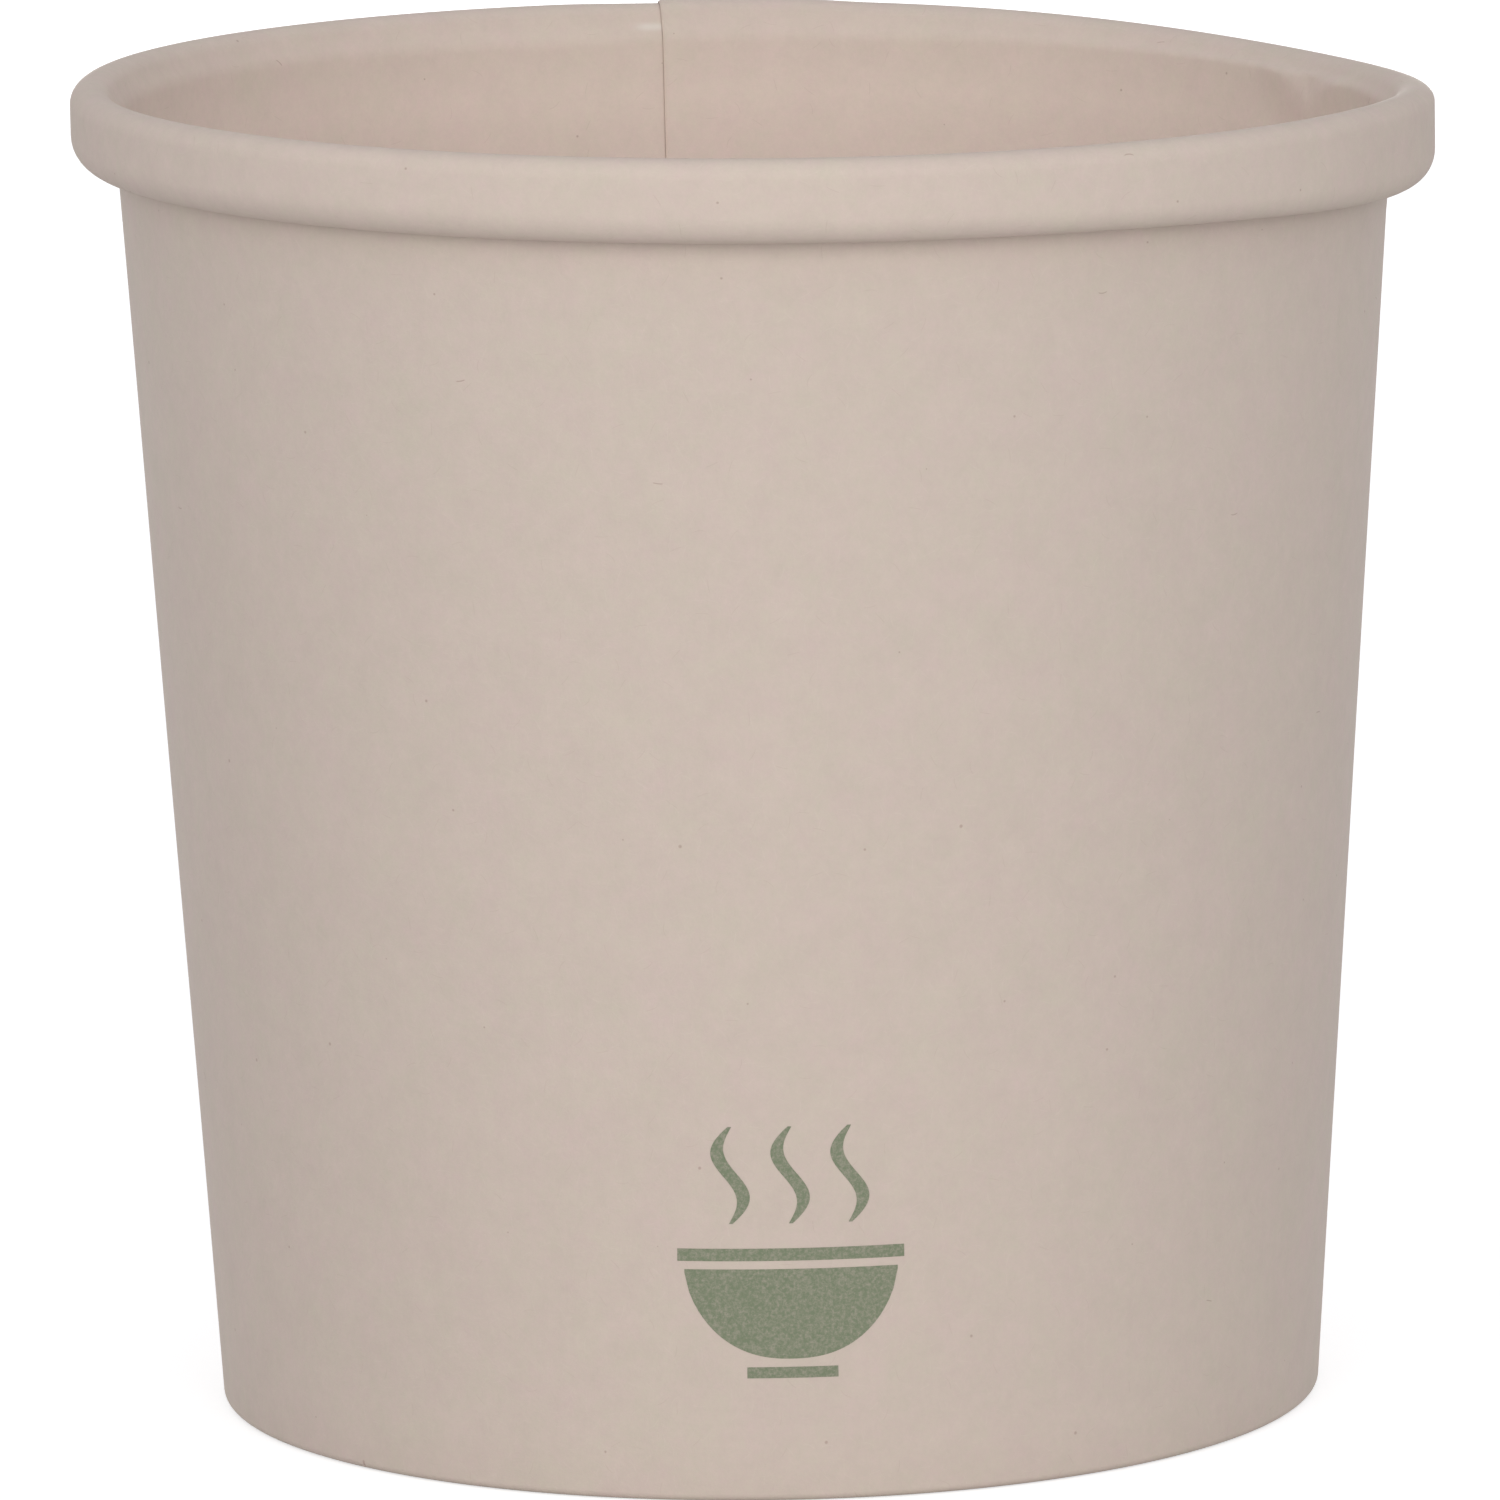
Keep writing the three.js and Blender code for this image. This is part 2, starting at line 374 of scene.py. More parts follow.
def wall_section(turn):
    """The whole wall blank, from the hem's raw edge to the rim's."""
    fold_floor = WALL_BOARD + fold_lift(turn)
    wall_start = fold_floor + FOLD_RADIUS * (1 - math.sin(lean))
    fold_outside = leaning_radius(wall_start, 0) - FOLD_RADIUS * math.cos(lean)
    pen = SectionPen(leaning_radius(HEM_HEIGHT, pocket_width), HEM_HEIGHT, down_the_wall)
    pen.line_to_height(fold_floor + FOLD_RADIUS * (1 + math.sin(lean)), HEM_STEPS)
    pen.arc(FOLD_RADIUS, -down_the_wall, FOLD_STEPS)
    pen.line_to_radius(fold_outside)
    pen.arc(FOLD_RADIUS, up_the_wall, FOLD_STEPS)
    return draw_rim(pen, turn)


def film_section(turn):
    """The wall's film, from just above the base's skirt to the rim's raw edge."""
    film_start = skirt_top + PLAY
    pen = SectionPen(leaning_radius(film_start, 0), film_start, up_the_wall)
    return draw_rim(pen, turn)


def base_panel_pen():
    """The base from its middle to the end of its bend, where the skirt starts."""
    bend_start = leaning_radius(skirt_top, skirt_offset) - BASE_BEND_RADIUS * math.cos(lean)
    pen = SectionPen(0, base_top, 0)
    pen.line_to_radius(bend_start - PLEAT_REACH, PANEL_STEPS)
    pen.line_to_radius(bend_start, PANEL_STEPS)
    return pen.arc(BASE_BEND_RADIUS, down_the_wall)


def seam_section(_turn):
    """The seal between the wall and the skirt."""
    pen = SectionPen(leaning_radius(SEAL_EDGE_HEIGHT, 0), SEAL_EDGE_HEIGHT, up_the_wall)
    return pen.line_to_height(skirt_top - PLAY, SEAL_STEPS).section()


def hem_section(_turn):
    """The seal between the skirt and the hem."""
    pen = SectionPen(leaning_radius(HEM_SEAL_HEIGHT, pocket_width), HEM_SEAL_HEIGHT, down_the_wall)
    return pen.line_to_height(SEAL_EDGE_HEIGHT, SEAL_STEPS).section()


# Meshes of the sheets

SHEET_MAP = "sheet"
MAP_RADIUS = 43.0
SHARP_ANGLE = math.radians(38)


def edge_press(turn):
    """How far a sheet is pressed thin at this turn from its cut edge."""
    return EDGE_PRESS * (1 - np.clip(turn / EDGE_PRESS_ANGLE, 0, 1)) ** 2


def turns_between(first, last):
    """Turns a column apart, with more close to both cut edges and across the fold under the lip."""
    near_edge = EDGE_PRESS_ANGLE * PRESSED_COLUMNS
    steps = round((last - first) / FULL_TURN * COLUMNS)
    middle = np.linspace(first, last, steps + 1)[1:-1]
    fold_reach = (BUCKLE_ARM + BUCKLE_ARM_END) / crease_radius
    fold_start = SEAM_ANGLE - BUCKLE_ANGLE - fold_reach
    fold = fold_start + 2 * fold_reach * np.arange(BUCKLE_COLUMNS) / BUCKLE_COLUMNS
    if first < fold_start < last:
        middle = np.concatenate([middle[middle < fold[0]], fold, middle[middle > fold[-1]]])
    return np.concatenate([first + near_edge, middle, (last - near_edge)[::-1]])


def joined_loops(loops, size):
    """Faces that join closed loops of this many points, each loop to the next."""
    faces = []
    for loop in range(loops - 1):
        for corner in range(size):
            here = loop * size + corner
            following = loop * size + (corner + 1) % size
            faces.append((following, here, here + size, following + size))
    return faces


def swept_sheet(turns, section_at, near_at, far_at):
    """A closed sheet that runs round the cup: vertices, faces, flat coordinates and its cut-edge faces."""
    vertices = []
    flat = []
    for turn in turns:
        section = section_at(turn)
        near_radius, near_height = at_depth(section, near_at(turn, section))
        far_radius, far_height = at_depth(section, far_at(turn, section))
        radius = np.concatenate([near_radius, far_radius[::-1]])
        height = np.concatenate([near_height, far_height[::-1]])
        vertices.append(in_space(*settle(radius, SEAM_ANGLE - turn, height)))
        along = np.concatenate([drawn_length(section), drawn_length(section)[::-1]])
        flat.append(np.stack([np.full(len(along), turn * MAP_RADIUS), along], 1))
    size = len(vertices[0])
    half = size // 2
    faces = joined_loops(len(turns), size)
    cut_edges = [face for face in range(len(faces)) if face % size in (half - 1, size - 1)]
    last = (len(turns) - 1) * size
    for near in range(half - 1):
        far = size - 1 - near
        cut_edges += [len(faces), len(faces) + 1]
        faces.append((near, near + 1, far - 1, far))
        faces.append((last + near, last + far, last + far - 1, last + near + 1))
    return np.concatenate(vertices), faces, np.concatenate(flat), cut_edges


def turned_sheet(section, near, far):
    """A closed round sheet with its middle on the cup's axis."""
    angles = np.arange(COLUMNS) * FULL_TURN / COLUMNS
    near_radius, near_height = at_depth(section, near)
    far_radius, far_height = at_depth(section, far)
    radius = np.concatenate([near_radius[1:], far_radius[:0:-1]])
    height = np.concatenate([near_height[1:], far_height[:0:-1]])
    size = len(radius)
    columns = in_space(*settle_base(radius[None, :], angles[:, None], height[None, :]))
    middles = [(0, 0, near_height[0] + PANEL_CROWN), (0, 0, far_height[0] + PANEL_CROWN)]
    vertices = np.concatenate([columns.reshape(-1, 3), middles])
    top_middle = COLUMNS * size
    bottom_middle = top_middle + 1
    faces = []
    cut_edges = []
    for column in range(COLUMNS):
        this = column * size
        following = (column + 1) % COLUMNS * size
        faces.append((top_middle, this, following))
        for corner in range(size - 1):
            if corner == size // 2 - 1:
                cut_edges.append(len(faces))
            faces.append((this + corner, this + corner + 1, following + corner + 1, following + corner))
        faces.append((bottom_middle, following + size - 1, this + size - 1))
    return vertices, faces, vertices[:, :2].copy(), cut_edges


def new_piece(name, shape, face_material, edge_material):
    """A Blender mesh of a sheet, with flat coordinates in millimetres and another finish on cut edges."""
    vertices, faces, flat, cut_edges = shape
    mesh = bpy.data.meshes.new(name)
    mesh.from_pydata((vertices * MM).tolist(), [], faces)
    mesh.materials.append(face_material)
    mesh.materials.append(edge_material)
    slots = np.zeros(len(mesh.polygons), np.int32)
    slots[cut_edges] = 1
    mesh.polygons.foreach_set("material_index", slots)
    corners = np.zeros(len(mesh.loops), np.int32)
    mesh.loops.foreach_get("vertex_index", corners)
    mesh.uv_layers.new(name=SHEET_MAP).uv.foreach_set("vector", flat[corners].astype(np.float32).ravel())
    mesh.shade_smooth()
    mesh.set_sharp_from_angle(angle=SHARP_ANGLE)
    mesh.validate()
    piece = bpy.data.objects.new(name, mesh)
    bpy.context.scene.collection.objects.link(piece)
    return piece


# Shader nodes


def srgb(red, green, blue):
    """Linear colour of an sRGB colour written in 0 to 255."""
    def linear(value):
        value /= 255
        return value / 12.92 if value <= 0.04045 else ((value + 0.055) / 1.055) ** 2.4
    return (linear(red), linear(green), linear(blue), 1.0)


def feed(tree, socket, value):
    """Links a socket to another one, or sets its value."""
    if isinstance(value, bpy.types.NodeSocket):
        tree.links.new(value, socket)
    else:
        socket.default_value = value


def calculate(tree, operation, first, second=0.0, third=0.0):
    """Result of a sum on numbers or sockets."""
    node = tree.nodes.new("ShaderNodeMath")
    node.operation = operation
    for socket, value in zip(node.inputs, (first, second, third)):
        feed(tree, socket, value)
    return node.outputs[0]


def vector_math(tree, operation, first, second):
    """Result of a sum on two vectors."""
    node = tree.nodes.new("ShaderNodeVectorMath")
    node.operation = operation
    feed(tree, node.inputs[0], first)
    feed(tree, node.inputs[1], second)
    return node.outputs["Vector"]


def fade(tree, value, start, end, kind="SMOOTHSTEP"):
    """0 before start and 1 after end, smoothly unless another kind is given; start may be the larger."""
    node = tree.nodes.new("ShaderNodeMapRange")
    node.interpolation_type = kind
    feed(tree, node.inputs["Value"], value)
    feed(tree, node.inputs["From Min"], start)
    feed(tree, node.inputs["From Max"], end)
    return node.outputs["Result"]


def mix_colors(tree, share, first, second, blend="MIX"):
    """The first colour, with this share of the second blended in."""
    node = tree.nodes.new("ShaderNodeMix")
    node.data_type = "RGBA"
    node.blend_type = blend
    color_inputs = [socket for socket in node.inputs if socket.type == "RGBA"]
    feed(tree, node.inputs["Factor"], share)
    feed(tree, color_inputs[0], first)
    feed(tree, color_inputs[1], second)
    return next(socket for socket in node.outputs if socket.type == "RGBA")


def noise(tree, place, per_mm, detail, roughness):
    """Noise with so many patches per millimetre, from 0 to 1."""
    node = tree.nodes.new("ShaderNodeTexNoise")
    tree.links.new(place, node.inputs["Vector"])
    node.inputs["Scale"].default_value = per_mm / MM
    node.inputs["Detail"].default_value = detail
    node.inputs["Roughness"].default_value = roughness
    return node.outputs["Fac"]


def object_place(tree):
    """Place in the cup, in metres."""
    return tree.nodes.new("ShaderNodeTexCoord").outputs["Object"]


def sheet_place(tree):
    """Place on the flat sheet, in millimetres."""
    node = tree.nodes.new("ShaderNodeUVMap")
    node.uv_map = SHEET_MAP
    return node.outputs["UV"]


# How freely marks lie in their cells, how far a fibre bends, the shares of its length and width on each
# side of its middle that have full strength, and the shares of a speck that are its least size and core
SCATTER = 0.85
FIBRE_BEND = 1.2
FIBRE_FULL_LENGTH = 0.3
FIBRE_FULL_WIDTH = 0.2
SPECK_LEAST = 0.3
SPECK_CORE = 0.4


def scattered(tree, cell, shift):
    """One random point in each cell of the sheet: the way to it in millimetres, and its random colour."""
    place = vector_math(tree, "ADD", sheet_place(tree), (shift, shift, 0.0))
    node = tree.nodes.new("ShaderNodeTexVoronoi")
    node.voronoi_dimensions = "2D"
    node.inputs["Scale"].default_value = 1 / cell
    node.inputs["Randomness"].default_value = SCATTER
    tree.links.new(place, node.inputs["Vector"])
    away = vector_math(tree, "SUBTRACT", place, node.outputs["Position"])
    parts = tree.nodes.new("ShaderNodeSeparateColor")
    tree.links.new(node.outputs["Color"], parts.inputs["Color"])
    return away, parts.outputs


def fibres(tree, cell, share, shift, length, width):
    """Short bent hairs lying any way in the board, in this share of the cells."""
    away, (turn, bend, choice) = scattered(tree, cell, shift)
    rotate = tree.nodes.new("ShaderNodeVectorRotate")
    rotate.rotation_type = "Z_AXIS"
    tree.links.new(away, rotate.inputs["Vector"])
    tree.links.new(calculate(tree, "MULTIPLY", turn, FULL_TURN), rotate.inputs["Angle"])
    parts = tree.nodes.new("ShaderNodeSeparateXYZ")
    tree.links.new(rotate.outputs["Vector"], parts.inputs["Vector"])
    along, across = parts.outputs[0], parts.outputs[1]
    curve = calculate(tree, "MULTIPLY", calculate(tree, "SUBTRACT", bend, 0.5), FIBRE_BEND / length)
    bent = calculate(tree, "MULTIPLY", calculate(tree, "MULTIPLY", along, along), curve)
    off_line = calculate(tree, "ABSOLUTE", calculate(tree, "SUBTRACT", across, bent))
    inside = fade(tree, calculate(tree, "ABSOLUTE", along), length / 2, length * FIBRE_FULL_LENGTH)
    thin = fade(tree, off_line, width / 2, width * FIBRE_FULL_WIDTH)
    chosen = calculate(tree, "LESS_THAN", choice, share)
    return calculate(tree, "MULTIPLY", calculate(tree, "MULTIPLY", inside, thin), chosen)


def specks(tree, cell, share, shift, radius):
    """Round specks in this share of the cells, of random size up to the radius."""
    away, (size, _, choice) = scattered(tree, cell, shift)
    node = tree.nodes.new("ShaderNodeVectorMath")
    node.operation = "LENGTH"
    tree.links.new(away, node.inputs[0])
    reach = calculate(tree, "MULTIPLY_ADD", size, radius * (1 - SPECK_LEAST), radius * SPECK_LEAST)
    dot = fade(tree, calculate(tree, "DIVIDE", node.outputs["Value"], reach), 1.0, SPECK_CORE)
    return calculate(tree, "MULTIPLY", dot, calculate(tree, "LESS_THAN", choice, share))


def marked(tree, color, marks, strength, mark_color):
    """A colour with marks of another colour on it, at this strength."""
    return mix_colors(tree, calculate(tree, "MULTIPLY", marks, strength), color, mark_color)


def new_material(name):
    material = bpy.data.materials.new(name)
    material.use_nodes = True
    return material, material.node_tree, material.node_tree.nodes["Principled BSDF"]


def add_bump(tree, shader, height, depth):
    node = tree.nodes.new("ShaderNodeBump")
    node.inputs["Strength"].default_value = 1.0
    node.inputs["Distance"].default_value = depth * MM
    tree.links.new(height, node.inputs["Height"])
    tree.links.new(node.outputs["Normal"], shader.inputs["Normal"])


def set_finish(tree, shader, grain, roughness, change, gloss, depth):
    """Roughness that changes over the grain, an even gloss, and the grain's depth in millimetres."""
    tree.links.new(calculate(tree, "MULTIPLY_ADD", grain, change, roughness), shader.inputs["Roughness"])
    shader.inputs["Specular IOR Level"].default_value = gloss
    add_bump(tree, shader, grain, depth)


# Materials

# Unbleached board wanders between a pinkish and a greyer beige; the inside colours are painted paler, as
# painted light
PINK_BOARD = srgb(212, 189, 185)
GREY_BOARD = srgb(203, 196, 177)
# Painted light: paler inside colours that stand for light coming through the thin wall
PINK_PAINTED_INSIDE_LIGHT = srgb(234, 209, 205)
GREY_PAINTED_INSIDE_LIGHT = srgb(224, 216, 197)
# Colour of a painted highlight on the lip beside the seam
PAINTED_HIGHLIGHT_COLOR = srgb(236, 232, 224)
FIBRE_COLOR = srgb(150, 118, 100)
PALE_FIBRE_COLOR = srgb(226, 214, 203)
SPECK_COLOR = srgb(142, 104, 92)
DARK_LAYER = srgb(186, 166, 152)
PALE_LAYER = srgb(216, 202, 190)
DARK_SEAL = srgb(188, 168, 156)
PALE_SEAL = srgb(206, 190, 178)
FULL_INK = srgb(116, 127, 101)
PALE_INK = srgb(156, 152, 136)

# Noise, as (patches per mm, levels of finer detail, how strong the finer levels are)
COLOR_NOISE = (0.22, 4.0, 0.95)
CLOUD_NOISE = (0.31, 6.0, 0.95)
FELT_NOISE = (3.4, 5.0, 0.7)
RIPPLE_NOISE = (1.1, 3.0, 0.5)
LAYER_NOISE = (6.0, 4.0, 0.7)
COVER_NOISE = (4.0, 5.0, 0.8)
MELT_NOISE = (0.9, 3.0, 0.6)

# Share of the brightness that wanders over the board
CLOUDING = 0.23

# Marks in the board: size of a cell in mm, share of the cells that hold one, shift of the cells in mm, then
# the length and width of a fibre or the radius of a speck, and under them the strength of each kind
PALE_FIBRES = (1.5, 0.6, 3.0, 1.2, 0.08)
PALE_FIBRE_STRENGTH = 0.14
DARK_FIBRES = (2.6, 0.4, 17.0, 1.1, 0.07)
DARK_FIBRE_STRENGTH = 0.12
HAIRS = (22.0, 0.55, 59.0, 0.8, 0.11)
HAIR_STRENGTH = 0.4
SPECKS = (10.0, 0.45, 41.0, 0.17)
SPECK_STRENGTH = 0.4

# Finishes, as (roughness, its change over the grain, gloss, depth of the grain in mm)
BOARD_FINISH = (0.55, 0.14, 0.25, 0.02)
INK_FINISH = (0.5, 0.14, 0.35, 0.02)
SEAL_FINISH = (0.4, 0.2, 0.5, 0.03)

# The same of the coated face, whose roughness also changes where film was squeezed out
COATED_ROUGHNESS = 0.6
COATED_ROUGHNESS_CHANGE = 0.16
COATED_GLOSS = 0.12
RIPPLE_DEPTH = 0.02

# The same of the cut edge, which is evenly rough
CUT_ROUGHNESS = 0.95
CUT_GLOSS = 0.15
LAYER_DEPTH = 0.06

# The ink is thinnest up to the first value of its noise, and full from the second
INK_BARE = 0.3
INK_SOLID = 0.62

# Stretch along the film, from its lower edge, where the inside's painted light fades out towards the rim,
# and its share that goes
lip_bend = (CUP_HEIGHT - skirt_top - LIP_DROP) / math.cos(lean)
PAINTED_LIGHT_FADE_START = lip_bend - 4.0
PAINTED_LIGHT_FADE_END = lip_bend + 2.2
PAINTED_LIGHT_FADE = 0.84

# Glossy film that was squeezed out on the lip, beside the inner raw edge: its stretch along the sheet, its
# height and half its breadth, the strength of the painted highlight on it, and how much glossier it is
SQUEEZE_START = FULL_TURN * MAP_RADIUS - 2.4
SQUEEZE_END = FULL_TURN * MAP_RADIUS - 1.0
SQUEEZE_HEIGHT = lip_bend + 1.1
SQUEEZE_SIZE = 0.5
PAINTED_HIGHLIGHT_STRENGTH = 0.45
SQUEEZE_ROUGHNESS_CHANGE = -0.4


def board_color(tree, place, pink, grey):
    """Cloudy board, from patches of a few millimetres to fine grain, with fibres, hairs and specks."""
    color = mix_colors(tree, noise(tree, place, *COLOR_NOISE), pink, grey)
    cloud = noise(tree, place, *CLOUD_NOISE)
    level = calculate(tree, "MULTIPLY_ADD", cloud, CLOUDING, 1 - CLOUDING / 2)
    shade = tree.nodes.new("ShaderNodeCombineColor")
    for socket in shade.inputs[:3]:
        tree.links.new(level, socket)
    color = mix_colors(tree, 1.0, color, shade.outputs[0], "MULTIPLY")
    color = marked(tree, color, fibres(tree, *PALE_FIBRES), PALE_FIBRE_STRENGTH, PALE_FIBRE_COLOR)
    color = marked(tree, color, fibres(tree, *DARK_FIBRES), DARK_FIBRE_STRENGTH, FIBRE_COLOR)
    color = marked(tree, color, fibres(tree, *HAIRS), HAIR_STRENGTH, SPECK_COLOR)
    return marked(tree, color, specks(tree, *SPECKS), SPECK_STRENGTH, SPECK_COLOR)


def make_board():
    """The bare outside of the board: matt, a little furry, with a felt-like surface."""
    material, tree, shader = new_material("board")
    place = object_place(tree)
    tree.links.new(board_color(tree, place, PINK_BOARD, GREY_BOARD), shader.inputs["Base Color"])
    set_finish(tree, shader, noise(tree, place, *FELT_NOISE), *BOARD_FINISH)
    return material


def make_coated_board():
    """The coated face: the board's colour under a thin satin film, with painted light inside and a painted
    highlight.
    """
    material, tree, shader = new_material("coated_board")
    place = object_place(tree)
    parts = tree.nodes.new("ShaderNodeSeparateXYZ")
    tree.links.new(sheet_place(tree), parts.inputs["Vector"])
    along, up = parts.outputs[0], parts.outputs[1]
    # Painted light: the inside is painted paler, fading to the board's colour over the lip
    over_the_lip = fade(tree, up, PAINTED_LIGHT_FADE_START, PAINTED_LIGHT_FADE_END, "LINEAR")
    painted_light_faded = calculate(tree, "MULTIPLY", over_the_lip, PAINTED_LIGHT_FADE)
    pink = mix_colors(tree, painted_light_faded, PINK_PAINTED_INSIDE_LIGHT, PINK_BOARD)
    grey = mix_colors(tree, painted_light_faded, GREY_PAINTED_INSIDE_LIGHT, GREY_BOARD)
    # Painted highlight on the lip beside the inner raw edge; the same patch is also made less rough
    off_line = calculate(tree, "ABSOLUTE", calculate(tree, "SUBTRACT", up, SQUEEZE_HEIGHT))
    beside_edge = fade(tree, along, SQUEEZE_START, SQUEEZE_END)
    squeezed_gloss_and_painted_highlight = calculate(tree, "MULTIPLY", beside_edge, fade(tree, off_line, SQUEEZE_SIZE, 0.0))
    color = board_color(tree, place, pink, grey)
    color = marked(tree, color, squeezed_gloss_and_painted_highlight, PAINTED_HIGHLIGHT_STRENGTH, PAINTED_HIGHLIGHT_COLOR)
    tree.links.new(color, shader.inputs["Base Color"])
    roughness = calculate(tree, "MULTIPLY_ADD", squeezed_gloss_and_painted_highlight, SQUEEZE_ROUGHNESS_CHANGE, COATED_ROUGHNESS)
    ripple = noise(tree, place, *RIPPLE_NOISE)
    set_finish(tree, shader, ripple, roughness, COATED_ROUGHNESS_CHANGE, COATED_GLOSS, RIPPLE_DEPTH)
    return material


def make_cut_edge():
    """The cut edge of the board: torn fibres in layers."""
    material, tree, shader = new_material("cut_edge")
    layers = noise(tree, object_place(tree), *LAYER_NOISE)
    tree.links.new(mix_colors(tree, layers, DARK_LAYER, PALE_LAYER), shader.inputs["Base Color"])
    shader.inputs["Roughness"].default_value = CUT_ROUGHNESS
    shader.inputs["Specular IOR Level"].default_value = CUT_GLOSS
    add_bump(tree, shader, layers, LAYER_DEPTH)
    return material


def make_ink():
    """Thin green ink, which leaves some of the board's grain bare."""
    material, tree, shader = new_material("ink")
    place = object_place(tree)
    covered = fade(tree, noise(tree, place, *COVER_NOISE), INK_BARE, INK_SOLID)
    tree.links.new(mix_colors(tree, covered, PALE_INK, FULL_INK), shader.inputs["Base Color"])
    set_finish(tree, shader, noise(tree, place, *FELT_NOISE), *INK_FINISH)
    return material


def make_seal():
    """Film that was melted between two sheets."""
    material, tree, shader = new_material("seal")
    melt = noise(tree, object_place(tree), *MELT_NOISE)
    tree.links.new(mix_colors(tree, melt, DARK_SEAL, PALE_SEAL), shader.inputs["Base Color"])
    set_finish(tree, shader, melt, *SEAL_FINISH)
    return material


board = make_board()
coated_board = make_coated_board()
cut_edge = make_cut_edge()
seal = make_seal()
ink = make_ink()


# Pieces of the cup, and how deep their near and far faces lie under their section's coated face


def board_near(turn, _section):
    return lap_rise(turn) + edge_press(turn)


def board_far(turn, section):
    """Depth of the wall's outside, with the wheel's marks on the hem and the outer cut edge pressed."""
    along = drawn_length(section)
    marks_end = HEM_HEIGHT - WALL_BOARD - HEM_MARK_CLEARANCE
    on_hem = smooth_step(along / HEM_MARK_FADE) * smooth_step((marks_end - along) / HEM_MARK_FADE)
    hem_mark = HEM_MARK_DEPTH * (0.5 + 0.5 * math.cos(HEM_MARKS * turn))
    thickness = WALL_BOARD * (1 - LAP_PRESS * inner_lap(turn)) - edge_press(FULL_TURN + LAP_ANGLE - turn)
    return lap_rise(turn) + thickness - hem_mark * on_hem


def film_near(turn, section):
    return board_near(turn, section) - film_stand


def film_far(turn, section):
    return board_near(turn, section) - PLAY


def lap_film_near(turn, _section):
    return lap_rise(turn) - film_stand


def lap_film_far(turn, _section):
    return lap_rise(turn) - PLAY


def seam_near(_turn, _section):
    return -PLAY - seam_film


def hem_seal_near(_turn, _section):
    return -film_stand


def add_piece(name, shape, face_material, node):
    piece = new_piece(name, shape, face_material, cut_edge)
    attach(piece, "root")
    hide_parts(node)


once_round = turns_between(0.0, FULL_TURN - EDGE_SLIT_ANGLE)
whole_blank = turns_between(0.0, FULL_TURN + LAP_ANGLE)
over_the_lap = turns_between(FULL_TURN, FULL_TURN + LAP_ANGLE)
base_section = base_panel_pen().line_to_height(SKIRT_EDGE_HEIGHT, SKIRT_STEPS).section()
base_film_section = base_panel_pen().section()

add_piece("cup_wall", swept_sheet(whole_blank, wall_section, board_near, board_far), board,
          "side_wall")
add_piece("wall_lining", swept_sheet(once_round, film_section, film_near, film_far), coated_board,
          "wall_film")
add_piece("base_disc", turned_sheet(base_section, 0, BASE_BOARD), board, "base")
add_piece("base_lining", turned_sheet(base_film_section, -film_stand, -PLAY), coated_board,
          "base_film")
add_piece("side_seam_bond", swept_sheet(over_the_lap, wall_section, lap_film_near, lap_film_far), seal,
          "side_seam_seal")
add_piece("base_seam_bond", swept_sheet(once_round, seam_section, seam_near, lap_film_far), seal,
          "base_seam_seal")
add_piece("hem_bond", swept_sheet(once_round, hem_section, hem_seal_near, lap_film_far), seal,
          "hem_seal")


# Printed sign on the front: a plain bowl with three wisps of steam, in millimetres on the flat wall
PRINT_ACROSS = 1.5
PRINT_HEIGHT = 17.5
PRINT_LIFT = 0.012
INK_THICKNESS = 0.008
PRINT_STEPS = 48

# The bowl's body is a little narrower than its lip, and its outline is steep at the sides and flat below,
# where BOWL_END keeps the two ends from coming to a point
BOWL_HALF_WIDTH = 8.0
BOWL_DEPTH = 6.5
BOWL_LIP = 0.9
BOWL_LIP_GAP = 0.6
BOWL_NARROWING = 0.94
BOWL_END = 0.998
BOWL_SIDE_POWER = 2.4
BOWL_BOTTOM_POWER = 0.6
BOWL_FOOT_HALF_WIDTH = 3.2
BOWL_FOOT_HEIGHT = 0.8

# The wisps taper towards both ends, which are cut just before they come to a point
STEAM_PLACES = (-4.2, 0.0, 4.2)
STEAM_HEIGHT = 7.0
STEAM_GAP = 1.8
STEAM_SWING = 0.9
STEAM_WIDTH = 1.1
STEAM_END = 0.04
STEAM_TAPER_POWER = 0.7


def on_the_wall(across, height, lift):
    """Points on the outside of the wall, so far across from the front and so far off the board."""
    radius = FOOT_RADIUS + height * math.tan(lean) + lift / math.cos(lean)
    return in_space(*settle(radius, FRONT_ANGLE + across / radius, height))


def ink_strip(first_edge, second_edge):
    """A thin closed strip of ink between two edges, each given as places across and heights."""
    top_lift = PRINT_LIFT + INK_THICKNESS
    corners = ((first_edge, PRINT_LIFT), (second_edge, PRINT_LIFT))
    corners += ((second_edge, top_lift), (first_edge, top_lift))
    rows = []
    for (across, height), lift in corners:
        rows.append(on_the_wall(PRINT_ACROSS + across, PRINT_HEIGHT + height, lift))
    vertices = np.stack(rows, 1).reshape(-1, 3)
    start = tuple(range(len(corners)))
    end = tuple(len(vertices) - 1 - corner for corner in start)
    return vertices, [start, end, *joined_loops(PRINT_STEPS, len(corners))]


def bowl_strips():
    """Lip, body and foot of the bowl, from left to right."""
    across = np.linspace(-1, 1, PRINT_STEPS)
    level = np.zeros(PRINT_STEPS)
    wide = BOWL_HALF_WIDTH * across
    yield (wide, level), (wide, level + BOWL_LIP)
    body = wide * BOWL_NARROWING
    body_top = level - BOWL_LIP_GAP
    roundness = (1 - np.abs(across * BOWL_END) ** BOWL_SIDE_POWER) ** BOWL_BOTTOM_POWER
    yield (body, body_top - BOWL_DEPTH * roundness), (body, body_top)
    foot = BOWL_FOOT_HALF_WIDTH * across
    foot_top = level - BOWL_LIP_GAP * 2 - BOWL_DEPTH
    yield (foot, foot_top - BOWL_FOOT_HEIGHT), (foot, foot_top)


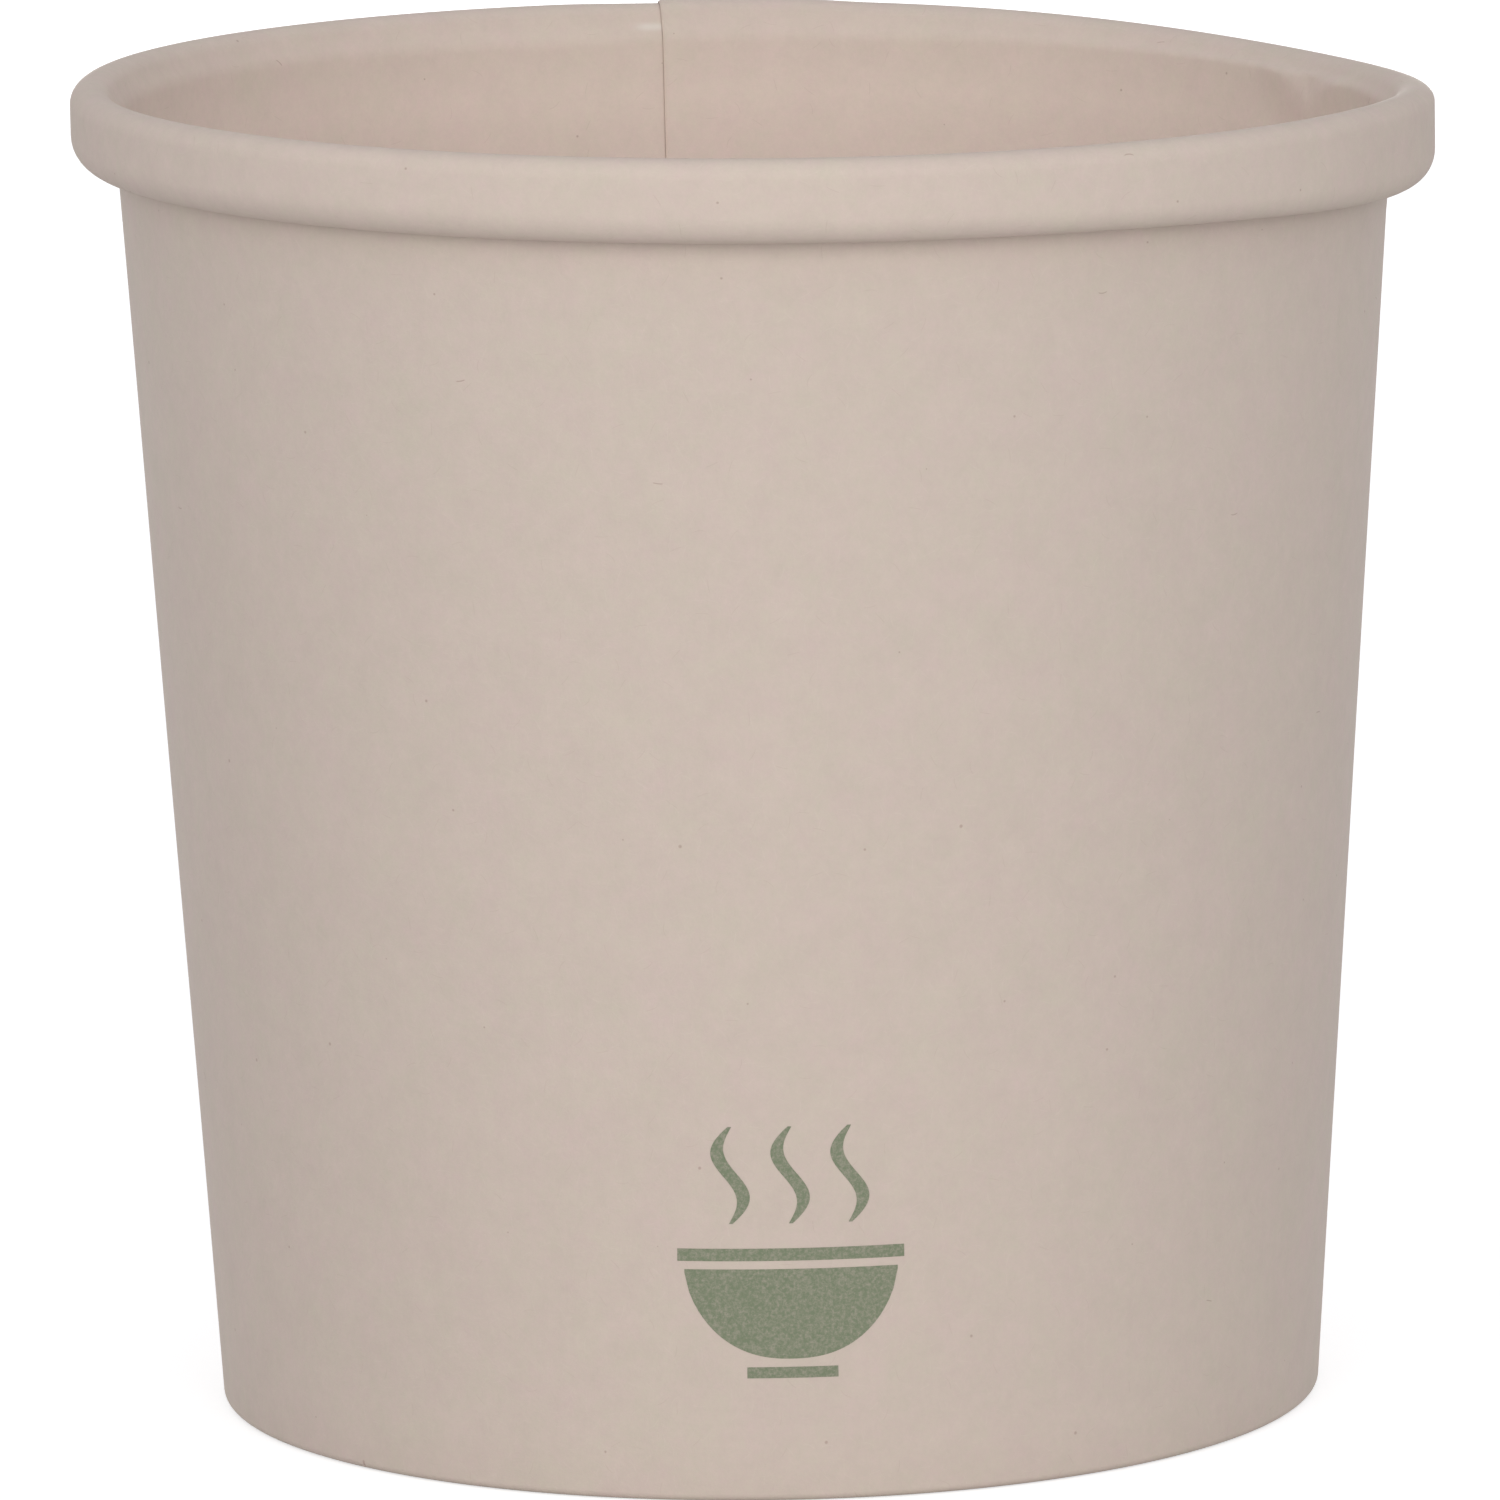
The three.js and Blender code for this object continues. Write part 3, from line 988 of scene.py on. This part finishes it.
def steam_strips():
    """Three wavy wisps over the bowl, thin at both ends."""
    up = np.linspace(0, 1, PRINT_STEPS)
    height = BOWL_LIP + STEAM_GAP + STEAM_HEIGHT * up
    taper = np.sin(math.pi * (STEAM_END + (1 - 2 * STEAM_END) * up)) ** STEAM_TAPER_POWER
    half_width = STEAM_WIDTH / 2 * taper
    for place in STEAM_PLACES:
        middle = place + STEAM_SWING * np.sin(FULL_TURN * up)
        yield (middle + half_width, height), (middle - half_width, height)


def add_print():
    vertices = []
    faces = []
    for strip in [*bowl_strips(), *steam_strips()]:
        strip_vertices, strip_faces = ink_strip(*strip)
        start = sum(len(part) for part in vertices)
        vertices.append(strip_vertices)
        faces += [tuple(start + corner for corner in face) for face in strip_faces]
    vertices = np.concatenate(vertices)
    piece = new_piece("front_print", (vertices, faces, vertices[:, [0, 2]].copy(), []), ink, ink)
    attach(piece, "root")


add_print()


# Camera, from the photograph's perspective: its place in metres and its tilt, for a square frame
CAMERA_PLACE = (-0.00085, -1.0046, 0.2173)
CAMERA_TILT = 0.1681
CAMERA_ROLL = -0.0152
CAMERA_LENS = 337.3
SENSOR_WIDTH = 36.0


def add_camera():
    data = bpy.data.cameras.new("camera")
    data.lens = CAMERA_LENS
    data.sensor_width = SENSOR_WIDTH
    camera = bpy.data.objects.new("camera", data)
    tilt = Matrix.Rotation(QUARTER_TURN - CAMERA_TILT, 4, "X")
    camera.matrix_world = Matrix.Translation(CAMERA_PLACE) @ tilt @ Matrix.Rotation(CAMERA_ROLL, 4, "Z")
    bpy.context.scene.collection.objects.link(camera)
    bpy.context.scene.camera = camera


# Studio, in metres: white floor that keeps the shadow, pale surround, lamps before and behind the cup
FLOOR_SIZE = 12.0
FLOOR_DROP = 0.00005
FLOOR_SHADE = 0.65
FLOOR_GLOW = 0.62
SURROUND_LIGHT = 0.56
SURROUND_COLOR = (0.98, 1.0, 1.06, 1.0)
WHITE = (1.0, 1.0, 1.0, 1.0)
LAMP_AIM = (0.0, 0.0, 0.05)
LAMP_COLOR = (1.02, 1.0, 0.95)
FRONT_LAMP_PLACE = (0.0, -1.15, 0.45)
FRONT_LAMP_SIZE = (2.8, 0.8)
FRONT_LAMP_POWER = 11.25
BACK_LAMP_PLACE = (0.0, 1.15, 0.05)
BACK_LAMP_SIZE = (0.36, 0.09)
BACK_LAMP_POWER = 3.8


def seen_share(tree):
    """1 for what is seen directly, reflected or through glass, and 0 for light that falls on things."""
    path = tree.nodes.new("ShaderNodeLightPath")
    share = calculate(tree, "MAXIMUM", path.outputs["Is Camera Ray"], path.outputs["Is Glossy Ray"])
    return calculate(tree, "MAXIMUM", share, path.outputs["Is Transmission Ray"])


def add_surround():
    world = bpy.data.worlds.new("surround")
    bpy.context.scene.world = world
    world.use_nodes = True
    tree = world.node_tree
    background = tree.nodes["Background"]
    seen = seen_share(tree)
    tree.links.new(mix_colors(tree, seen, SURROUND_COLOR, WHITE), background.inputs["Color"])
    strength = calculate(tree, "MULTIPLY_ADD", seen, 1.0 - SURROUND_LIGHT, SURROUND_LIGHT)
    tree.links.new(strength, background.inputs["Strength"])


def add_floor():
    mesh = bpy.data.meshes.new("floor")
    half = FLOOR_SIZE / 2
    corners = [(-half, -half, -FLOOR_DROP), (half, -half, -FLOOR_DROP)]
    corners += [(half, half, -FLOOR_DROP), (-half, half, -FLOOR_DROP)]
    mesh.from_pydata(corners, [], [(0, 1, 2, 3)])
    material = bpy.data.materials.new("floor")
    material.use_nodes = True
    tree = material.node_tree
    tree.nodes.remove(tree.nodes["Principled BSDF"])
    paint = tree.nodes.new("ShaderNodeBsdfDiffuse")
    paint.inputs["Color"].default_value = (FLOOR_SHADE, FLOOR_SHADE, FLOOR_SHADE, 1.0)
    glow = tree.nodes.new("ShaderNodeEmission")
    tree.links.new(calculate(tree, "MULTIPLY", seen_share(tree), FLOOR_GLOW), glow.inputs["Strength"])
    both = tree.nodes.new("ShaderNodeAddShader")
    tree.links.new(paint.outputs[0], both.inputs[0])
    tree.links.new(glow.outputs[0], both.inputs[1])
    tree.links.new(both.outputs[0], tree.nodes["Material Output"].inputs["Surface"])
    mesh.materials.append(material)
    floor = bpy.data.objects.new("floor", mesh)
    bpy.context.scene.collection.objects.link(floor)


def add_lamp(name, place, size, power):
    """A soft lamp of this width and height that looks at the middle of the cup."""
    data = bpy.data.lights.new(name, "AREA")
    data.shape = "RECTANGLE"
    data.size, data.size_y = size
    data.energy = power
    data.color = LAMP_COLOR
    lamp = bpy.data.objects.new(name, data)
    aim = (Vector(LAMP_AIM) - Vector(place)).to_track_quat("-Z", "Y")
    lamp.matrix_world = Matrix.Translation(place) @ aim.to_matrix().to_4x4()
    bpy.context.scene.collection.objects.link(lamp)


add_camera()
add_surround()
add_floor()
add_lamp("front_lamp", FRONT_LAMP_PLACE, FRONT_LAMP_SIZE, FRONT_LAMP_POWER)
add_lamp("back_lamp", BACK_LAMP_PLACE, BACK_LAMP_SIZE, BACK_LAMP_POWER)
bpy.context.scene.view_settings.view_transform = "Standard"
